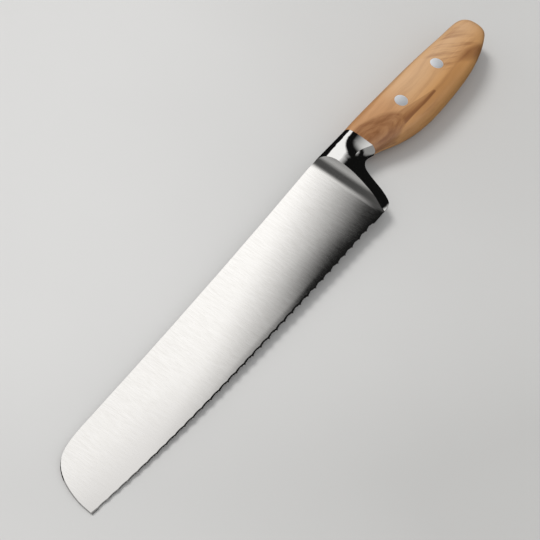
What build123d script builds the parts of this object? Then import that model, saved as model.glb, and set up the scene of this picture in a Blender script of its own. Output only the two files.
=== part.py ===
from build123d import *

import math
import os

# A bread knife lying on its side.
# +X runs from the heel towards the tip, +Y towards the cutting edge and +Z out of the left flank.
# The origin is the heel's corner on the cutting-edge line, in the knife's middle plane.
# All lengths are in millimetres.

# Blade, seen from its flank
BLADE_LENGTH = 230.0
SPINE_Y = -41.0
SPINE_BEND_X = 9.5
SPINE_SLOPE = 0.0585
SPINE_HOLLOW = 8.9e-5
NOSE_START_X = 200.0
TIP_Y = -4.5
EDGE_CROWN_X = 81.0
EDGE_CROWN_Y = 0.5
HEEL_Y = -0.6
EDGE_RISE_POWER = 2.8
NOSE_POINTS = (
    (209.6, -32.2),
    (215.3, -30.8),
    (219.7, -28.3),
    (225.6, -21.1),
    (229.1, -11.8),
)
NOSE_TANGENTS = ((1.0, 0.025), (0.1, 1.0))

# Blade, seen along its length
HALF_SPINE = 1.2
HALF_EDGE = 0.18

# Serrations: large scallops, each made of small ones
FIRST_TOOTH_X = 14.7
TOOTH_PITCH = 6.405
SCALLOP_DEPTH = 0.85
SCALLOP_FADE_X = 80.0
LAST_SCALLOP_DEPTH = 0.35
SMALL_TEETH = 3
SMALL_DEPTH = 0.28

# Neck between blade and wood, part of the blade's forging
JOINT_X = -22.5
NECK_BELLY_Y = -23.1
SWELL_START_X = 7.6
SWELL_RADIUS = 14.6

# Half thickness of the forging before its flanks are ground, from the spine to the edge
NECK_END_X = -5.0
THICKNESS_YS = (SPINE_Y, -38.6, -35.6, -31.0, -24.0, -14.6, -7.3, -3.0, EDGE_CROWN_Y + 1.0)
THICKNESS_AT_JOINT = (2.1, 4.4, 4.95, 4.8, 4.1, 2.9, 1.5, 0.65, 0.3)
THICKNESS_AT_NECK_END = (2.1, 3.6, 4.4, 4.6, 4.1, 2.7, 1.45, 0.65, 0.3)

# Tang, hidden between the handle halves
TANG_HALF = 1.5
TANG_END_X = -112.0
TANG_ROOT_DEPTH = 1.0
TANG_UPPER_YS = (-36.5, -35.0, -33.5)
TANG_LOWER_YS = (-27.0, -24.0, -26.0)
TANG_CORNER = 3.0

# Cutler's rivets
RIVET_XS = {"front": -53.6, "rear": -87.4}
RIVET_Y = -29.5
HEAD_RADIUS = 3.35
SOCKET_RADIUS = 2.4
PIN_RADIUS = 1.5
HEAD_UNDERSIDE = 5.5
SOCKET_FLOOR = 4.0
SOCKET_END = -5.3
PIN_END = 3.5

# Handle cross-sections: place along X, spine, belly, half width, squareness, lean towards the spine
HANDLE_STATIONS = (
    (JOINT_X, -41.3, NECK_BELLY_Y, 4.8, 2.6, 0.22),
    (-33.5, -41.4, -19.8, 6.3, 2.9, 0.15),
    (-47.8, -41.1, -16.2, 7.7, 3.3, 0.07),
    (-64.0, -40.9, -14.6, 8.5, 3.4, 0.02),
    (-81.3, -40.6, -14.8, 8.6, 3.4, 0.02),
    (-98.5, -39.9, -15.9, 8.4, 3.4, 0.02),
    (-111.8, -39.4, -17.7, 7.9, 3.2, 0.02),
    (-121.2, -39.2, -20.2, 7.1, 3.0, 0.02),
    (-127.2, -38.3, -22.5, 5.9, 2.7, 0.03),
    (-130.4, -36.9, -24.0, 4.4, 2.4, 0.03),
    (-132.3, -35.3, -25.6, 2.7, 2.2, 0.03),
    (-133.0, -33.4, -27.3, 1.2, 2.0, 0.0),
)
SECTION_POINTS = 28

# Choil, the hollow behind the heel: its curve from belly to heel in the middle plane, and how far
# its wall has leaned inwards at each height above that plane
CHOIL_POINTS = (
    (JOINT_X - 12.0, NECK_BELLY_Y + 3.0),
    (JOINT_X, NECK_BELLY_Y),
    (-16.3, -23.9),
    (-11.6, -21.8),
    (-8.4, -17.0),
    (-5.7, -10.4),
    (-2.6, -3.8),
    (-0.9, -1.6),
    (1.3, HEEL_Y),
    (5.0, HEEL_Y + 1.2),
)
CHOIL_WALL = ((1.2, 0.2), (2.1, 0.9), (2.9, 2.2), (3.9, 4.8), (5.4, 9.5))
CHOIL_INWARDS = (0.75, -0.66)

# Sizes of cutting tools: further than the knife reaches to either flank, and across its outline
CLEAR_HEIGHT = 20.0
REACH = 60.0


def spine_y(x):
    """The spine: level over the neck, then falling towards the edge with a slight hollow."""
    run = max(x - SPINE_BEND_X, 0.0)
    return SPINE_Y + SPINE_SLOPE * run - SPINE_HOLLOW * run * run


def edge_y(x):
    """Line through the points of the large teeth, a long shallow bow that rises at the tip."""
    if x < EDGE_CROWN_X:
        fall = (EDGE_CROWN_X - x) / EDGE_CROWN_X
        return EDGE_CROWN_Y - (EDGE_CROWN_Y - HEEL_Y) * fall**2
    rise = (x - EDGE_CROWN_X) / (BLADE_LENGTH - EDGE_CROWN_X)
    return EDGE_CROWN_Y + (TIP_Y - EDGE_CROWN_Y) * rise**EDGE_RISE_POWER


def scallop_fade(x):
    """How much of their full depth the scallops keep at x: all of it near the heel, less at the tip."""
    past = max(0.0, x - SCALLOP_FADE_X) / (BLADE_LENGTH - SCALLOP_FADE_X)
    return 1 - past * (1 - LAST_SCALLOP_DEPTH / SCALLOP_DEPTH)


def tooth_point(tooth, share):
    """A point on the bottom of a large scallop, share of the way from its first tooth to its last."""
    x = FIRST_TOOTH_X + (tooth + share) * TOOTH_PITCH
    hollow = SCALLOP_DEPTH * scallop_fade(x) * (1 - (2 * share - 1) ** 2)
    return x, edge_y(x) - hollow


def serrated_edge():
    """The serrations from heel to tip: each large scallop is a row of small hollow arcs."""
    count = int((BLADE_LENGTH - FIRST_TOOTH_X) / TOOTH_PITCH)
    arcs = []
    for tooth in range(count):
        for small in range(SMALL_TEETH):
            start = tooth_point(tooth, small / SMALL_TEETH)
            end = tooth_point(tooth, (small + 1) / SMALL_TEETH)
            middle_x = (start[0] + end[0]) / 2
            middle_y = (start[1] + end[1]) / 2 - SMALL_DEPTH * scallop_fade(middle_x)
            arcs.append(ThreePointArc(start, (middle_x, middle_y), end))
    return arcs


def forging_outline():
    """Outline of blade and neck in the XY plane, square below the neck where the choil is cut later."""
    teeth = serrated_edge()
    tip = (BLADE_LENGTH, TIP_Y)
    nose_start = (NOSE_START_X, spine_y(NOSE_START_X))
    spine_middle_x = (NOSE_START_X + SPINE_BEND_X) / 2
    nose = Spline(nose_start, *NOSE_POINTS, tip, tangents=NOSE_TANGENTS)
    spine = ThreePointArc(
        nose_start,
        (spine_middle_x, spine_y(spine_middle_x)),
        (SPINE_BEND_X, SPINE_Y),
    )
    neck = Polyline(
        (SPINE_BEND_X, SPINE_Y),
        (JOINT_X, SPINE_Y),
        (JOINT_X, HEEL_Y),
        (0.0, HEEL_Y),
        teeth[0] @ 0,
    )
    return make_face([*teeth, Line(teeth[-1] @ 1, tip), nose, spine, neck])


def thickness_section(x, heights):
    """The forging's cross-section at one place along X, from half heights at the thickness stations."""
    upper = Spline(*((x, y, z) for y, z in zip(THICKNESS_YS, heights)))
    lower = Spline(*((x, y, -z) for y, z in zip(THICKNESS_YS, heights)))
    back = Line(lower @ 0, upper @ 0)
    front = Line(upper @ 1, lower @ 1)
    return make_face([upper, front, lower, back])


def thickness_blank():
    """The forging's thickness before grinding: it blends from the wood's section to the neck's own."""
    neck = loft(
        [
            thickness_section(JOINT_X, THICKNESS_AT_JOINT),
            thickness_section(NECK_END_X, THICKNESS_AT_NECK_END),
        ],
        ruled=True,
    )
    front = thickness_section(NECK_END_X, THICKNESS_AT_NECK_END)
    return neck + extrude(front, amount=BLADE_LENGTH - NECK_END_X + 1, dir=(1, 0, 0))


def choil_section(height, inset):
    """Everything outside the choil at one height: the choil's curve, moved inwards by the inset."""
    dx = CHOIL_INWARDS[0] * inset
    dy = CHOIL_INWARDS[1] * inset
    choil = Spline(*((x + dx, y + dy, height) for x, y in CHOIL_POINTS))
    far_y = NECK_BELLY_Y + REACH
    outside = Polyline(
        choil @ 1,
        (CHOIL_POINTS[-1][0] + dx, far_y, height),
        (CHOIL_POINTS[0][0] + dx, far_y, height),
        choil @ 0,
    )
    return make_face([choil, outside])


def choil_cutter():
    """What is ground away outside the choil, its wall rounded over towards both flanks."""
    sections = [choil_section(-height, inset) for height, inset in reversed(CHOIL_WALL)]
    sections.append(choil_section(0.0, 0.0))
    sections.extend(choil_section(height, inset) for height, inset in CHOIL_WALL)
    return loft(sections)


def flank_cutter(side):
    """What is ground away above a flank: open space over the blade, ending in a round hollow."""
    lean = math.atan((HALF_SPINE - HALF_EDGE) / (EDGE_CROWN_Y - SPINE_Y))
    normal = Vector(0, math.sin(lean), side * math.cos(lean))
    along = Vector(0, math.cos(lean), -side * math.sin(lean))
    foot = Vector(SWELL_START_X, SPINE_Y, side * HALF_SPINE) - along * REACH / 2
    profile = Plane(foot, x_dir=(1, 0, 0), z_dir=along)
    up = 1 if (profile.y_dir.Z > 0) == (side > 0) else -1
    end_x = BLADE_LENGTH - SWELL_START_X + 1
    lines = [
        Line((0, 0), (end_x, 0)),
        Line((end_x, 0), (end_x, up * SWELL_RADIUS)),
        Line((end_x, up * SWELL_RADIUS), (-SWELL_RADIUS, up * SWELL_RADIUS)),
        ThreePointArc(
            (-SWELL_RADIUS, up * SWELL_RADIUS),
            (-SWELL_RADIUS * math.sqrt(0.5), up * SWELL_RADIUS * (1 - math.sqrt(0.5))),
            (0, 0),
        ),
    ]
    return extrude(profile * make_face(lines), amount=2 * REACH)


def make_neck_and_blade():
    """Blade and neck in one: outline by thickness, less what is ground off the choil and the flanks."""
    shape = extrude(forging_outline(), amount=CLEAR_HEIGHT, both=True) & thickness_blank()
    shape = shape - choil_cutter()
    for side in (1, -1):
        shape = shape - flank_cutter(side)
    return shape


def make_tang():
    """The flat tang, narrowing towards a rounded end, with a hole for each rivet."""
    root_x = JOINT_X + TANG_ROOT_DEPTH
    middle_x = (JOINT_X + TANG_END_X) / 2
    xs = (root_x, middle_x, TANG_END_X)
    upper = list(zip(xs, TANG_UPPER_YS))
    lower = list(zip(xs, TANG_LOWER_YS))
    face = make_face(Polyline(*upper, *reversed(lower), close=True))
    corners = face.vertices().filter_by(lambda corner: corner.X < middle_x - TANG_CORNER)
    return extrude(fillet(corners, TANG_CORNER), amount=TANG_HALF, both=True)


def superellipse(angle, power):
    """Cosine and sine of an angle, squared off by a power above two."""
    cosine = math.cos(angle)
    sine = math.sin(angle)
    return (
        math.copysign(abs(cosine) ** (2 / power), cosine),
        math.copysign(abs(sine) ** (2 / power), sine),
    )


def handle_section(x, spine, belly, half_width, squareness, lean):
    """One closed cross-section of the handle, a squared ellipse that is fuller at the spine."""
    points = []
    for step in range(SECTION_POINTS):
        across, out = superellipse(2 * math.pi * step / SECTION_POINTS, squareness)
        y = (spine + belly) / 2 - across * (belly - spine) / 2
        z = half_width * out * (1 + lean * across)
        points.append((x, y, z))
    return make_face(Spline(*points, periodic=True))


def make_handle():
    """The whole handle as one shape, before it is split into its halves."""
    return loft([handle_section(*station) for station in HANDLE_STATIONS])


def rod(x, radius, low, high):
    """A cylinder through the handle on a rivet's axis, between two heights."""
    plane = Plane((x, RIVET_Y, low), z_dir=(0, 0, 1))
    return Solid.make_cylinder(radius, high - low, plane)


def rivet_hole(x):
    """The hole for one rivet: a shank hole with a recess for the head on each side."""
    shank = rod(x, SOCKET_RADIUS, -HEAD_UNDERSIDE, HEAD_UNDERSIDE)
    left_head = rod(x, HEAD_RADIUS, HEAD_UNDERSIDE, CLEAR_HEIGHT)
    right_head = rod(x, HEAD_RADIUS, -CLEAR_HEIGHT, -HEAD_UNDERSIDE)
    return shank + left_head + right_head


def rivet_socket(x, handle):
    """Tubular rivet half: its head is ground flush with the left side of the handle."""
    head = rod(x, HEAD_RADIUS, HEAD_UNDERSIDE, CLEAR_HEIGHT) & handle
    tube = rod(x, SOCKET_RADIUS, SOCKET_END, HEAD_UNDERSIDE)
    bore = rod(x, PIN_RADIUS, SOCKET_END, SOCKET_FLOOR)
    return head + tube - bore


def rivet_pin(x, handle):
    """Solid rivet half: its head is ground flush with the right side, its pin fills the socket."""
    head = rod(x, HEAD_RADIUS, -CLEAR_HEIGHT, -HEAD_UNDERSIDE) & handle
    pin = rod(x, PIN_RADIUS, -HEAD_UNDERSIDE, PIN_END)
    return head + pin


def handle_half(handle, tang, side):
    """One half of the handle, hollowed for the tang and drilled for the rivets."""
    keep = Box(3 * REACH, 2 * REACH, REACH, align=(Align.MAX, Align.CENTER, Align.MIN))
    if side < 0:
        keep = keep.mirror(Plane.XY)
    half = (handle & keep) - tang
    for x in RIVET_XS.values():
        half = half - rivet_hole(x)
    return half


def make_knife():
    """Every piece of the knife, by name."""
    handle = make_handle()
    tang = make_tang()
    forging = make_neck_and_blade() + tang
    for x in RIVET_XS.values():
        forging = forging - rod(x, SOCKET_RADIUS, -CLEAR_HEIGHT, CLEAR_HEIGHT)
    pieces = {
        "blade_forging": forging,
        "left_handle_half": handle_half(handle, tang, 1),
        "right_handle_half": handle_half(handle, tang, -1),
    }
    for place, x in RIVET_XS.items():
        pieces[place + "_rivet_socket"] = rivet_socket(x, handle)
        pieces[place + "_rivet_pin"] = rivet_pin(x, handle)
    return pieces


os.makedirs("parts", exist_ok=True)
for name, piece in make_knife().items():
    export_step(piece, f"parts/{name}.step")
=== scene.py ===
import math

import bpy
from mathutils import Matrix, Vector


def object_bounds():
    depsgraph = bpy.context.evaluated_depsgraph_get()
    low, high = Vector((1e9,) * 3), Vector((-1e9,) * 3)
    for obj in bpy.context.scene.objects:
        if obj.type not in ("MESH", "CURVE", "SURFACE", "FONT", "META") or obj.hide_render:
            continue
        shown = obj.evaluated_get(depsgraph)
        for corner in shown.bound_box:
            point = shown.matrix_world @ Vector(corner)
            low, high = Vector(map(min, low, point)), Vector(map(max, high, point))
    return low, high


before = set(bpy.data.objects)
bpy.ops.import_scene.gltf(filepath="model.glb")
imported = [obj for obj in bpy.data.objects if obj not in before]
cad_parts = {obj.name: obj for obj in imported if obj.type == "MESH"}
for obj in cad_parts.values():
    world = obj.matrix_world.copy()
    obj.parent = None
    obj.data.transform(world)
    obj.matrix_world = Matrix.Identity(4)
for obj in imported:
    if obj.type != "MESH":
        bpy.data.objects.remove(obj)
CAD_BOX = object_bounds()

MM = 0.001

# Blade flank, as in the CAD: half thickness at spine and edge, and the round swell before the neck
BLADE_LENGTH = 230.0 * MM
SPINE_Y = -41.0 * MM
EDGE_Y = 0.5 * MM
HALF_SPINE = 1.2 * MM
HALF_EDGE = 0.18 * MM
SWELL_X = 7.6 * MM
SWELL_RADIUS = 14.6 * MM

# Serrated edge, as in the CAD
CROWN_X = 81.0 * MM
HEEL_Y = -0.6 * MM
TIP_Y = -4.5 * MM
EDGE_RISE_POWER = 2.8
FIRST_TOOTH_X = 14.7 * MM
TOOTH_PITCH = 6.405 * MM
SCALLOP_DEPTH = 0.85 * MM
SCALLOP_FADE_X = 80.0 * MM
LAST_SCALLOP_DEPTH = 0.35 * MM

# Bevel along the edge, and how much of the scallops' depth its upper rim follows
BEVEL_WIDTH = 1.15 * MM
LAST_BEVEL_WIDTH = 0.55 * MM
BEVEL_FOLLOW = 0.5

# Rivets, front and rear
RIVET_XS = (-53.6 * MM, -87.4 * MM)
RIVET_Y = -29.5 * MM

# Colours: a pair is the darker and the lighter end of a pattern
POLISHED_STEEL = (0.71, 0.70, 0.68)
SATIN_STEEL = ((0.775, 0.757, 0.728), (0.885, 0.869, 0.845))
STEEL_LOW_TOWARDS_TIP = (0.62, 0.605, 0.59)
RIVET_STEEL = ((0.82, 0.84, 0.87), (0.88, 0.895, 0.92))
WOOD_AT_SPINE = (0.58, 0.350, 0.180)
WOOD_AT_BELLY = (0.53, 0.265, 0.085)
WOOD_AT_NECK = (0.51, 0.268, 0.118)
WOOD_FIGURE = (0.215, 0.080, 0.022)
# The floor's two greys are painted light: the floor as lit, and as dimmed by the light's falloff
FLOOR_LIT = (0.668, 0.668, 0.665)
FLOOR_DIM = (0.505, 0.505, 0.499)

# Scales of stretched noise along x, y and z, in cycles per metre
FINE_HAIRLINES = (3800.0, 260.0, 260.0)
BROAD_HAIRLINES = (900.0, 130.0, 130.0)
RIVET_HAIRLINES = (2600.0, 160.0, 160.0)
WOOD_PORES = (70.0, 1300.0, 1300.0)

# The neck's side starts to lean here, just below the spine
NECK_CREST_Y = -38.0 * MM

# Slopes by which the shading leans towards the cutting edge, or towards the spine where negative.
# The crown's and the taper's grow by this much per metre, and the neck's by its rise.
CROWN_LEAN = 1.26
TAPER_LEAN = -0.25
BEVEL_LEAN = 0.17
LAST_BEVEL_LEAN = 0.055
ROLL_LEAN = 0.010
LIP_LEAN = 0.008
CORNER_LEAN = 0.04
NECK_LEAN = 0.14
NECK_LEAN_RISE = 35.0
HEEL_LEAN = -0.11
RIVET_LEAN = -0.035

# Heights of relief in metres. A rivet's dome is its number times the squared distance from the centre.
HAIRLINE_HEIGHT = 1.6e-6
RIVET_LINE_HEIGHT = 4.0e-7
RIVET_DOME = -8.0
PORE_HEIGHT = 1.2e-5
GRAIN_HEIGHT = 1.0e-5

# Wood figure, in millimetres
FAR_HALF_SHIFT = 17.0
ARCH_CENTRE = (-15.0, -34.7)
ARCH_SIZE = (31.5, 7.3)
ARCH_SLOPE = 0.22
WEDGE_X = -40.0
WEDGE_Y = -24.2
WEDGE_LENGTH = 32.0
WEDGE_HALF = 3.9
SLANT_SLOPE = 0.62
SLANT_SHIFT = 62.0
REAR_BELLY = {"centre": (-110, -19.5), "size": (15, 3.0), "angle": -8.0}
FRONT_BELLY = {"centre": (-74, -19.0), "size": (32, 2.6), "angle": 2.0}

# Brightness of what surrounds the knife. The card's two levels are those near the zenith and far
# from it, and the flags' is that of everything black.
CARD_LEVELS = (1.33, 1.52)
WINDOW_LEVEL = 2.0
STRIP_LEVEL = 0.42
OVERHEAD_LEVEL = 0.085
ROOM_LEVEL = 0.42
FLAG_LEVEL = 0.008
MATT_LEVEL = 0.82

# Floor: half its width, and how it leans along the knife, as the handle and the tip rest on it
FLOOR_SIZE = 3.0
FLOOR_SLOPE = 0.0262
UNDER_HANDLE_X = -0.081

# Directions on the floor, along x and y, as the camera sees them
TO_THE_RIGHT = (-0.54, 0.813)
TO_THE_CAMERA = (0.569, 0.542)


# ---------------------------------------------------------------- node helpers


class Graph:
    """A node tree with short calls for the nodes this scene uses."""

    def __init__(self, tree):
        self.tree = tree
        tree.nodes.clear()

    def add(self, kind, **settings):
        node = self.tree.nodes.new(kind)
        for name, value in settings.items():
            setattr(node, name, value)
        return node

    def put(self, socket, value):
        """Links a socket to an input, or sets the input's value."""
        if isinstance(value, bpy.types.NodeSocket):
            self.tree.links.new(value, socket)
        elif value is not None:
            socket.default_value = value

    def math(self, operation, a, b=None, c=None):
        node = self.add("ShaderNodeMath", operation=operation)
        for socket, value in zip(node.inputs, (a, b, c)):
            self.put(socket, value)
        return node.outputs[0]

    def sum(self, *terms):
        total = terms[0]
        for term in terms[1:]:
            total = self.math("ADD", total, term)
        return total

    def product(self, *factors):
        total = factors[0]
        for factor in factors[1:]:
            total = self.math("MULTIPLY", total, factor)
        return total

    def ramp(self, value, low, high, to_low=0.0, to_high=1.0, smooth=True):
        """value from low..high to to_low..to_high, clamped."""
        kind = "SMOOTHSTEP" if smooth else "LINEAR"
        node = self.add("ShaderNodeMapRange", interpolation_type=kind, clamp=True)
        for socket, number in zip(node.inputs, (value, low, high, to_low, to_high)):
            self.put(socket, number)
        return node.outputs[0]

    def xyz(self, vector):
        node = self.add("ShaderNodeSeparateXYZ")
        self.put(node.inputs[0], vector)
        return node.outputs

    def vector(self, x, y, z):
        node = self.add("ShaderNodeCombineXYZ")
        for socket, value in zip(node.inputs, (x, y, z)):
            self.put(socket, value)
        return node.outputs[0]

    def scaled(self, vector, factor):
        node = self.add("ShaderNodeVectorMath", operation="SCALE")
        self.put(node.inputs[0], vector)
        node.inputs["Scale"].default_value = factor
        return node.outputs[0]

    def noise(self, vector, scale, detail=2.0, roughness=0.5):
        node = self.add("ShaderNodeTexNoise")
        self.put(node.inputs["Vector"], vector)
        node.inputs["Scale"].default_value = scale
        node.inputs["Detail"].default_value = detail
        node.inputs["Roughness"].default_value = roughness
        return node.outputs["Fac"]

    def stretched_noise(self, place, scales, shift=0.0, **settings):
        """Noise with its own scale along each axis, in cycles per metre."""
        parts = [self.math("MULTIPLY_ADD", axis, s, shift) for axis, s in zip(self.xyz(place), scales)]
        return self.noise(self.vector(*parts), 1.0, **settings)

    def mix(self, share, a, b):
        """Colour a turning into colour b."""
        node = self.add("ShaderNodeMix", data_type="RGBA")
        self.put(node.inputs["Factor"], share)
        for name, value in (("A", a), ("B", b)):
            socket = [s for s in node.inputs if s.name == name and s.type == "RGBA"][0]
            self.put(socket, value if isinstance(value, bpy.types.NodeSocket) else (*value, 1.0))
        return [s for s in node.outputs if s.type == "RGBA"][0]

    def blob(self, x, y, centre, size, angle):
        """1 at the centre of a turned ellipse on the flank, fading softly to 0 outside it."""
        turn = math.radians(angle)
        dx = self.math("SUBTRACT", x, centre[0])
        dy = self.math("SUBTRACT", y, centre[1])
        along = self.sum(self.product(dx, math.cos(turn)), self.product(dy, math.sin(turn)))
        across = self.math("SUBTRACT", self.product(dy, math.cos(turn)), self.product(dx, math.sin(turn)))
        a = self.product(along, 1 / size[0])
        b = self.product(across, 1 / size[1])
        return self.ramp(self.math("ADD", self.product(a, a), self.product(b, b)), 2.0, 0.0)


def surface(name):
    """A new material with a Principled shader: the material, its graph and its shader node."""
    material = bpy.data.materials.new(name)
    material.use_nodes = True
    graph = Graph(material.node_tree)
    shader = graph.add("ShaderNodeBsdfPrincipled")
    output = graph.add("ShaderNodeOutputMaterial")
    graph.put(output.inputs["Surface"], shader.outputs[0])
    return material, graph, shader


def bump(graph, shader, height, normal=None):
    """Gives a shader relief of a height in metres, on top of another normal if there is one."""
    node = graph.add("ShaderNodeBump")
    node.inputs["Strength"].default_value = 1.0
    node.inputs["Distance"].default_value = 1.0
    graph.put(node.inputs["Height"], height)
    graph.put(node.inputs["Normal"], normal)
    graph.put(shader.inputs["Normal"], node.outputs["Normal"])


def leaned(graph, slope):
    """The normal, leaned by a slope towards the cutting edge, so that a flat flank shades as if curved."""
    normal = graph.add("ShaderNodeNewGeometry").outputs["Normal"]
    facing = graph.math("ABSOLUTE", graph.xyz(normal)[2])
    node = graph.add("ShaderNodeVectorMath", operation="ADD")
    graph.put(node.inputs[0], normal)
    graph.put(node.inputs[1], graph.vector(0.0, graph.product(slope, facing), 0.0))
    unit = graph.add("ShaderNodeVectorMath", operation="NORMALIZE")
    graph.put(unit.inputs[0], node.outputs[0])
    return unit.outputs[0]


def position(graph):
    """Where a point lies in the knife's own frame, in metres."""
    return graph.add("ShaderNodeTexCoord").outputs["Object"]


# ---------------------------------------------------------------- blade


def ground_share(g, x, y, z):
    """1 on the ground flank and on the round swell that ends it at the neck, 0 on the polished neck."""
    half = g.ramp(y, SPINE_Y, EDGE_Y, HALF_SPINE, HALF_EDGE, smooth=False)
    run = g.math("MINIMUM", g.math("MAXIMUM", g.math("SUBTRACT", SWELL_X, x), 0.0), SWELL_RADIUS)
    drop = g.math("SQRT", g.math("SUBTRACT", SWELL_RADIUS**2, g.product(run, run)))
    rise = g.math("SUBTRACT", SWELL_RADIUS, drop)
    gap = g.math("ABSOLUTE", g.math("SUBTRACT", g.math("ABSOLUTE", z), g.math("ADD", half, rise)))
    return g.math("MAXIMUM", g.ramp(gap, 0.10 * MM, 0.04 * MM), g.ramp(x, 8 * MM, 9 * MM))


def edge_line(g, x):
    """The line through the points of the large teeth, as in the CAD."""
    fall = g.ramp(x, 0.0, CROWN_X, 1.0, 0.0, smooth=False)
    rise = g.math("POWER", g.ramp(x, CROWN_X, BLADE_LENGTH, smooth=False), EDGE_RISE_POWER)
    return g.sum(g.product(fall, fall, HEEL_Y - EDGE_Y), g.product(rise, TIP_Y - EDGE_Y), EDGE_Y)


def along_edge(g, x, first, last):
    """first near the heel, changing evenly to last at the tip, as the scallops' depth does."""
    return g.ramp(x, SCALLOP_FADE_X, BLADE_LENGTH, first, last, smooth=False)


def bevel_share(g, x, y):
    """1 on the narrow bevel that is ground along the serrations, 0 elsewhere."""
    tooth = g.math("FRACT", g.product(g.math("SUBTRACT", x, FIRST_TOOTH_X), 1 / TOOTH_PITCH))
    side = g.math("MULTIPLY_ADD", tooth, 2.0, -1.0)
    depth = along_edge(g, x, SCALLOP_DEPTH, LAST_SCALLOP_DEPTH)
    hollow = g.product(g.math("MULTIPLY_ADD", g.product(side, side), -1.0, 1.0), depth)
    width = along_edge(g, x, BEVEL_WIDTH, LAST_BEVEL_WIDTH)
    rim = g.math("SUBTRACT", g.math("SUBTRACT", edge_line(g, x), g.product(hollow, BEVEL_FOLLOW)), width)
    inside = g.math("SUBTRACT", y, rim)
    return g.product(g.ramp(inside, -0.15 * MM, 0.15 * MM), g.ramp(x, 11 * MM, 15 * MM))


def hairlines(g, here):
    """Fine and broad scratches left by grinding, running from spine to edge."""
    fine = g.stretched_noise(here, FINE_HAIRLINES, detail=3.0, roughness=0.65)
    broad = g.stretched_noise(here, BROAD_HAIRLINES, shift=3.1, detail=3.0)
    return g.math("ADD", g.product(fine, 0.6), g.product(broad, 0.4))


def satin_grey(g, x, y, lines):
    """The flank's grey, streaked by the hairlines and darker low down towards the tip."""
    grey = g.mix(g.ramp(lines, 0.3, 0.7), *SATIN_STEEL)
    low_tip_share = g.product(g.ramp(y, -26 * MM, -3 * MM), g.ramp(x, 120 * MM, 185 * MM), 0.62)
    return g.mix(low_tip_share, grey, STEEL_LOW_TOWARDS_TIP)


def flank_lean(g, x, y):
    """How the flat flank's shading leans: crowned and tapered, and rolling over towards the edge."""
    crown = g.product(g.math("SUBTRACT", y, (SPINE_Y + EDGE_Y) / 2), CROWN_LEAN)
    taper = g.product(g.math("MAXIMUM", g.math("SUBTRACT", x, 12 * MM), 0.0), TAPER_LEAN)
    steepness = g.ramp(x, 110 * MM, 205 * MM, BEVEL_LEAN, LAST_BEVEL_LEAN)
    bevel = g.product(bevel_share(g, x, y), steepness)
    low = g.ramp(y, -16 * MM, -1 * MM, smooth=False)
    roll = g.product(low, g.ramp(x, 95 * MM, 60 * MM), g.ramp(x, 18 * MM, 48 * MM), ROLL_LEAN)
    lip = g.product(g.ramp(y, -4 * MM, -1.5 * MM), g.ramp(x, 170 * MM, 110 * MM), LIP_LEAN)
    corner = g.product(g.ramp(y, -14 * MM, -5 * MM), g.ramp(x, 7.5 * MM, 3 * MM), CORNER_LEAN)
    return g.sum(crown, taper, bevel, roll, lip, corner)


def neck_lean(g, x, y):
    """How the neck's shading leans: more and more towards the belly beside the wood, back at the heel."""
    down = g.math("MAXIMUM", g.math("SUBTRACT", y, NECK_CREST_Y), 0.0)
    fall = g.math("MULTIPLY_ADD", down, NECK_LEAN_RISE, NECK_LEAN)
    below_crest = g.ramp(y, NECK_CREST_Y - 1 * MM, NECK_CREST_Y + 1 * MM)
    fall = g.product(fall, below_crest, g.ramp(x, -8 * MM, -18.5 * MM))
    heel = g.product(g.ramp(y, -8 * MM, 0.0), HEEL_LEAN)
    return g.math("ADD", fall, heel)


def blade_steel():
    """Satin flanks ground from spine to edge, a dark bevel along the teeth and a mirror-polished neck."""
    material, g, shader = surface("blade_steel")
    here = position(g)
    x, y, z = g.xyz(here)
    ground = ground_share(g, x, y, z)
    polished = g.math("SUBTRACT", 1.0, ground)
    lines = hairlines(g, here)
    g.put(shader.inputs["Base Color"], g.mix(ground, POLISHED_STEEL, satin_grey(g, x, y, lines)))
    shader.inputs["Metallic"].default_value = 1.0
    satin = g.ramp(lines, 0.25, 0.75, 0.07, 0.11)
    g.put(shader.inputs["Roughness"], g.math("ADD", g.product(satin, ground), g.product(polished, 0.035)))
    g.put(shader.inputs["Anisotropic"], g.product(ground, 0.6))
    g.put(shader.inputs["Tangent"], g.vector(1.0, 0.0, 0.0))
    lean = g.math("ADD", g.product(flank_lean(g, x, y), ground), g.product(neck_lean(g, x, y), polished))
    bump(g, shader, g.product(lines, ground, HAIRLINE_HEIGHT), leaned(g, lean))
    return material


# ---------------------------------------------------------------- handle and rivets


def arch_figure(g, x, x_bent, y_bent):
    """Nested brown arches between the neck and the front rivet."""
    u = g.product(g.math("SUBTRACT", x_bent, ARCH_CENTRE[0]), 1 / ARCH_SIZE[0])
    v = g.product(g.sum(y_bent, g.product(x, ARCH_SLOPE), -ARCH_CENTRE[1]), 1 / ARCH_SIZE[1])
    arch = g.math("SQRT", g.math("ADD", g.product(u, u, u, u), g.product(v, v)))
    at = g.vector(g.product(arch, 6.0), g.product(x, 0.06), g.math("MULTIPLY_ADD", y_bent, 0.25, 4.0))
    lines = g.noise(at, 1.0, detail=5.0, roughness=0.6)
    return g.product(g.ramp(arch, 1.22, 0.90), g.ramp(lines, 0.32, 0.70, 0.48, 0.84))


def wedge_figure(g, x, y, wave, plain):
    """A brown wedge from under the arches to a point behind the front rivet, darkest on its belly side."""
    along = g.product(g.math("SUBTRACT", x, WEDGE_X), -1 / WEDGE_LENGTH)
    middle = g.math("MULTIPLY_ADD", along, 3.4, WEDGE_Y)
    half = g.math("MULTIPLY_ADD", along, -3.2, WEDGE_HALF)
    off = g.math("DIVIDE", g.math("SUBTRACT", g.math("MULTIPLY_ADD", wave, 2.0, y), middle), half)
    wedge = g.product(g.ramp(g.math("ABSOLUTE", off), 1.12, 0.90), g.ramp(along, 0.0, 0.2))
    wedge = g.product(wedge, g.ramp(along, 1.02, 0.96))
    grain = g.math("MULTIPLY_ADD", g.math("SUBTRACT", plain, 0.5), 2.2, off)
    return g.product(wedge, g.ramp(grain, -0.8, 0.9, 0.45, 0.98))


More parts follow.
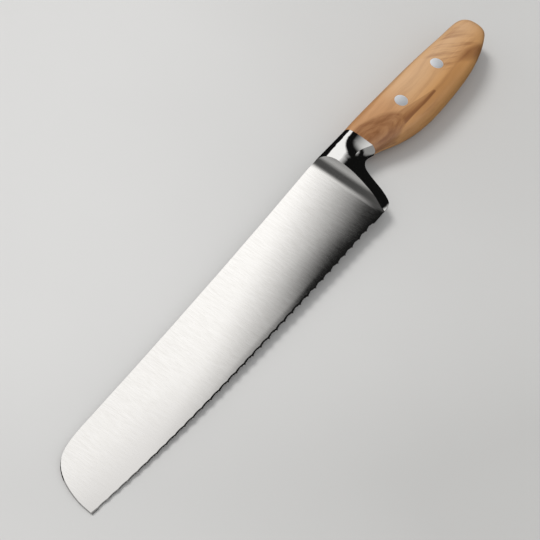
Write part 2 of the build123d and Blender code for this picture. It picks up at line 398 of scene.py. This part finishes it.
def slanted_figure(g, x, y, y_bent):
    """Slanted streaks behind the rear rivet."""
    slant = g.sum(y_bent, g.product(x, SLANT_SLOPE), SLANT_SHIFT)
    lines = g.noise(g.vector(g.product(slant, 0.40), g.product(x, 0.04), 9.0), 1.0, detail=4.0)
    along = g.product(g.ramp(x, -84.0, -92.0), g.ramp(x, -124.0, -110.0))
    across = g.product(g.ramp(y, -38.5, -35.5), g.ramp(y, -19.0, -23.0))
    return g.product(along, across, g.ramp(lines, 0.44, 0.66), 0.45)


def belly_figure(g, x, x_bent, y_bent):
    """Darker heartwood along the belly."""
    front = g.product(g.blob(x, y_bent, **FRONT_BELLY), 0.42)
    return g.product(g.math("MAXIMUM", g.blob(x_bent, y_bent, **REAR_BELLY), front), 0.72)


def handle_wood():
    """Oiled olive wood: tan at the spine, orange towards the belly, with brown figure."""
    material, g, shader = surface("handle_wood")
    here = position(g)
    x, y, z = g.xyz(g.scaled(here, 1 / MM))
    # the two halves come from different places in the plank
    x = g.math("MULTIPLY_ADD", g.math("LESS_THAN", z, 0.0), FAR_HALF_SHIFT, x)
    wave = g.math("SUBTRACT", g.noise(here, 45.0, detail=1.5), 0.5)
    ripple = g.math("SUBTRACT", g.noise(here, 170.0, detail=2.5), 0.5)
    y_bent = g.sum(y, g.product(wave, 5.0), g.product(ripple, 1.2))
    x_bent = g.math("MULTIPLY_ADD", wave, 8.0, x)
    plain_at = g.vector(g.product(x, 0.018), g.product(y_bent, 0.42), g.product(z, 0.3))
    plain = g.noise(plain_at, 1.0, detail=4.0)
    pores = g.stretched_noise(here, WOOD_PORES, detail=3.0, roughness=0.6)
    # the darkest figure shows at each place
    tone = g.math("MAXIMUM", arch_figure(g, x, x_bent, y_bent), wedge_figure(g, x, y, wave, plain))
    tone = g.math("MAXIMUM", tone, slanted_figure(g, x, y, y_bent))
    tone = g.math("MAXIMUM", tone, belly_figure(g, x, x_bent, y_bent))
    # plain grain and pores all over, painted shade along the rounded spine rim, darker wood towards the neck
    pore_tone = g.product(g.math("SUBTRACT", pores, 0.5), 0.22)
    tone = g.sum(tone, g.product(g.ramp(plain, 0.45, 0.7), 0.20), pore_tone)
    tone = g.sum(tone, g.ramp(y, -38.4, -39.6, 0.0, 0.22), g.ramp(x, -52.0, -26.0, 0.0, 0.10))
    tone = g.math("MINIMUM", g.math("MAXIMUM", tone, 0.0), 1.0)
    base = g.mix(g.ramp(y_bent, -34.0, -17.0), WOOD_AT_SPINE, WOOD_AT_BELLY)
    red = g.product(g.ramp(x, -64.0, -42.0), g.ramp(y_bent, -22.0, -29.0))
    base = g.mix(red, base, WOOD_AT_NECK)
    g.put(shader.inputs["Base Color"], g.mix(tone, base, WOOD_FIGURE))
    g.put(shader.inputs["Roughness"], g.ramp(pores, 0.3, 0.7, 0.36, 0.48))
    shader.inputs["Coat Weight"].default_value = 0.10
    shader.inputs["Coat Roughness"].default_value = 0.3
    bump(g, shader, g.sum(g.product(pores, PORE_HEIGHT), g.product(plain, GRAIN_HEIGHT)))
    return material


def rivet_steel():
    """Satin steel, with a shallow dome on each head that is relief in the shading only."""
    material, g, shader = surface("rivet_steel")
    here = position(g)
    x, y = g.xyz(here)[:2]
    lines = g.stretched_noise(here, RIVET_HAIRLINES, detail=2.0, roughness=0.6)
    g.put(shader.inputs["Base Color"], g.mix(lines, *RIVET_STEEL))
    shader.inputs["Metallic"].default_value = 1.0
    g.put(shader.inputs["Roughness"], g.ramp(lines, 0.3, 0.7, 0.37, 0.44))
    # the nearer of the two rivet centres
    front, rear = RIVET_XS
    nearest = g.math("MULTIPLY_ADD", g.math("LESS_THAN", x, (front + rear) / 2), rear - front, front)
    dx = g.math("SUBTRACT", x, nearest)
    dy = g.math("SUBTRACT", y, RIVET_Y)
    dome = g.product(g.math("ADD", g.product(dx, dx), g.product(dy, dy)), RIVET_DOME)
    bump(g, shader, g.math("ADD", dome, g.product(lines, RIVET_LINE_HEIGHT)), leaned(g, RIVET_LEAN))
    return material


# ---------------------------------------------------------------- stage, light and camera


def floor_stone():
    """Plain pale grey with a faint cloudiness, and a painted falloff of the light: lit to the camera's left,
    dimmer to its right and nearer to it.
    """
    material, g, shader = surface("floor_stone")
    here = position(g)
    x, y = g.xyz(here)[:2]
    across = g.sum(g.product(x, TO_THE_RIGHT[0]), g.product(y, TO_THE_RIGHT[1]))
    nearer = g.sum(g.product(x, TO_THE_CAMERA[0]), g.product(y, TO_THE_CAMERA[1]))
    cloud = g.product(g.math("SUBTRACT", g.noise(here, 9.0, detail=3.0), 0.5), 0.25)
    # painted light: the share runs from the lit grey to the dim grey across the floor and towards the camera,
    # plus cloudiness
    share = g.sum(g.ramp(across, -0.17, 0.08, 0.0, 0.72), g.ramp(nearer, 0.04, 0.13, 0.0, 0.40), cloud)
    g.put(shader.inputs["Base Color"], g.mix(share, FLOOR_LIT, FLOOR_DIM))
    shader.inputs["Roughness"].default_value = 0.5
    shader.inputs["Specular IOR Level"].default_value = 0.2
    return material


def make_floor():
    """The pale surface that the handle's side and the tip rest on, as seen from the knife's frame."""
    lowest = CAD_BOX[0].z
    ends = (-FLOOR_SIZE, FLOOR_SIZE)
    corners = [(ends[0], ends[0]), (ends[1], ends[0]), (ends[1], ends[1]), (ends[0], ends[1])]
    points = [(x, y, lowest + FLOOR_SLOPE * (x - UNDER_HANDLE_X)) for x, y in corners]
    mesh = bpy.data.meshes.new("floor")
    mesh.from_pydata(points, [], [(0, 1, 2, 3)])
    floor = bpy.data.objects.new("floor", mesh)
    bpy.context.scene.collection.objects.link(floor)
    mesh.materials.append(floor_stone())
    floor.visible_glossy = False


def shiny_room(g, toward):
    """What polished steel mirrors: a white card past the spine, a window past the edge, black between."""
    dx, dy, dz = g.xyz(toward)
    azimuth = g.product(g.math("ARCTAN2", dy, dx), 180 / math.pi)
    elevation = g.product(g.math("ARCSINE", dz), 180 / math.pi)
    height = g.math("MAXIMUM", dz, 0.02)
    p = g.math("DIVIDE", dx, height)
    q = g.math("DIVIDE", dy, height)
    # the card has a soft rim, fades out towards the zenith and is brightest far from it
    past = g.math("SUBTRACT", q, g.math("MULTIPLY_ADD", p, 0.2, -0.048))
    near = g.ramp(p, -0.27, -0.64, smooth=False)
    card = g.product(g.ramp(past, 0.045, -0.075, smooth=False), near, near, g.ramp(elevation, 22.5, 25.5))
    card = g.product(card, g.ramp(p, -0.64, -0.92, *CARD_LEVELS))
    # a window low down on the belly side, and a grey strip below it
    beside = g.ramp(azimuth, 92, 100)
    sill = g.math("SUBTRACT", elevation, g.math("MULTIPLY_ADD", azimuth, 0.45, -38.5))
    window = g.product(g.ramp(azimuth, 166, 118), beside, g.ramp(sill, -3.5, 3.5), WINDOW_LEVEL)
    strip = g.product(g.ramp(azimuth, 140, 125), beside, g.ramp(elevation, 12.0, 6.0), STRIP_LEVEL)
    overhead = g.product(g.ramp(g.math("ABSOLUTE", p), 0.68, 0.36), g.ramp(elevation, 40, 60), OVERHEAD_LEVEL)
    # the room beyond the knife's tip
    room = g.product(g.ramp(p, 0.0, 0.35), ROOM_LEVEL)
    return g.sum(card, window, strip, overhead, room, FLAG_LEVEL)


def make_world():
    """An even pale room for matt surfaces, and one with cards and flags for shiny ones."""
    world = bpy.data.worlds.new("studio")
    bpy.context.scene.world = world
    world.use_nodes = True
    g = Graph(world.node_tree)
    toward = g.add("ShaderNodeTexCoord").outputs["Generated"]
    shiny = g.add("ShaderNodeLightPath").outputs["Is Glossy Ray"]
    matt = g.math("SUBTRACT", 1.0, shiny)
    back = g.add("ShaderNodeBackground")
    level = g.math("ADD", g.product(shiny, shiny_room(g, toward)), g.product(matt, MATT_LEVEL))
    g.put(back.inputs["Strength"], level)
    output = g.add("ShaderNodeOutputWorld")
    g.put(output.inputs["Surface"], back.outputs[0])


def make_key_light():
    """A large soft lamp beyond the spine. It lights the matt surfaces and casts the shadow."""
    data = bpy.data.lights.new("key", "SUN")
    data.energy = 1.66
    data.angle = math.radians(24.0)
    data.color = (1.0, 0.985, 0.96)
    lamp = bpy.data.objects.new("key", data)
    bpy.context.scene.collection.objects.link(lamp)
    toward_lamp = Vector((-0.10, -0.64, 0.84))
    lamp.rotation_euler = toward_lamp.to_track_quat("Z", "Y").to_euler()
    lamp.visible_glossy = False


def make_camera():
    """Above the belly side of the knife, beyond its tip, looking back along the blade."""
    data = bpy.data.cameras.new("camera")
    data.lens = 160.0
    data.sensor_width = 36.0
    camera = bpy.data.objects.new("camera", data)
    bpy.context.scene.collection.objects.link(camera)
    right = Vector((-0.54062, 0.81322, 0.21540))
    up = Vector((-0.56909, -0.54209, 0.61828))
    back = Vector((0.61957, 0.21168, 0.75586))
    place = Vector((0.73675, 0.20615, 0.81106))
    camera.matrix_world = Matrix((
        (right.x, up.x, back.x, place.x),
        (right.y, up.y, back.y, place.y),
        (right.z, up.z, back.z, place.z),
        (0.0, 0.0, 0.0, 1.0),
    ))
    bpy.context.scene.camera = camera


# ---------------------------------------------------------------- the knife


def dress(node, material):
    """Gives a CAD node its material."""
    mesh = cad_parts[node].data
    mesh.materials.clear()
    mesh.materials.append(material)


steel = blade_steel()
wood = handle_wood()
rivets = rivet_steel()
dress("blade_forging", steel)
for side in ("left", "right"):
    dress(f"{side}_handle_half", wood)
    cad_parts[f"{side}_handle_half"].visible_glossy = False
for place in ("front", "rear"):
    for half in ("socket", "pin"):
        dress(f"{place}_rivet_{half}", rivets)

make_floor()
make_world()
make_key_light()
make_camera()
bpy.context.scene.view_settings.view_transform = "Standard"
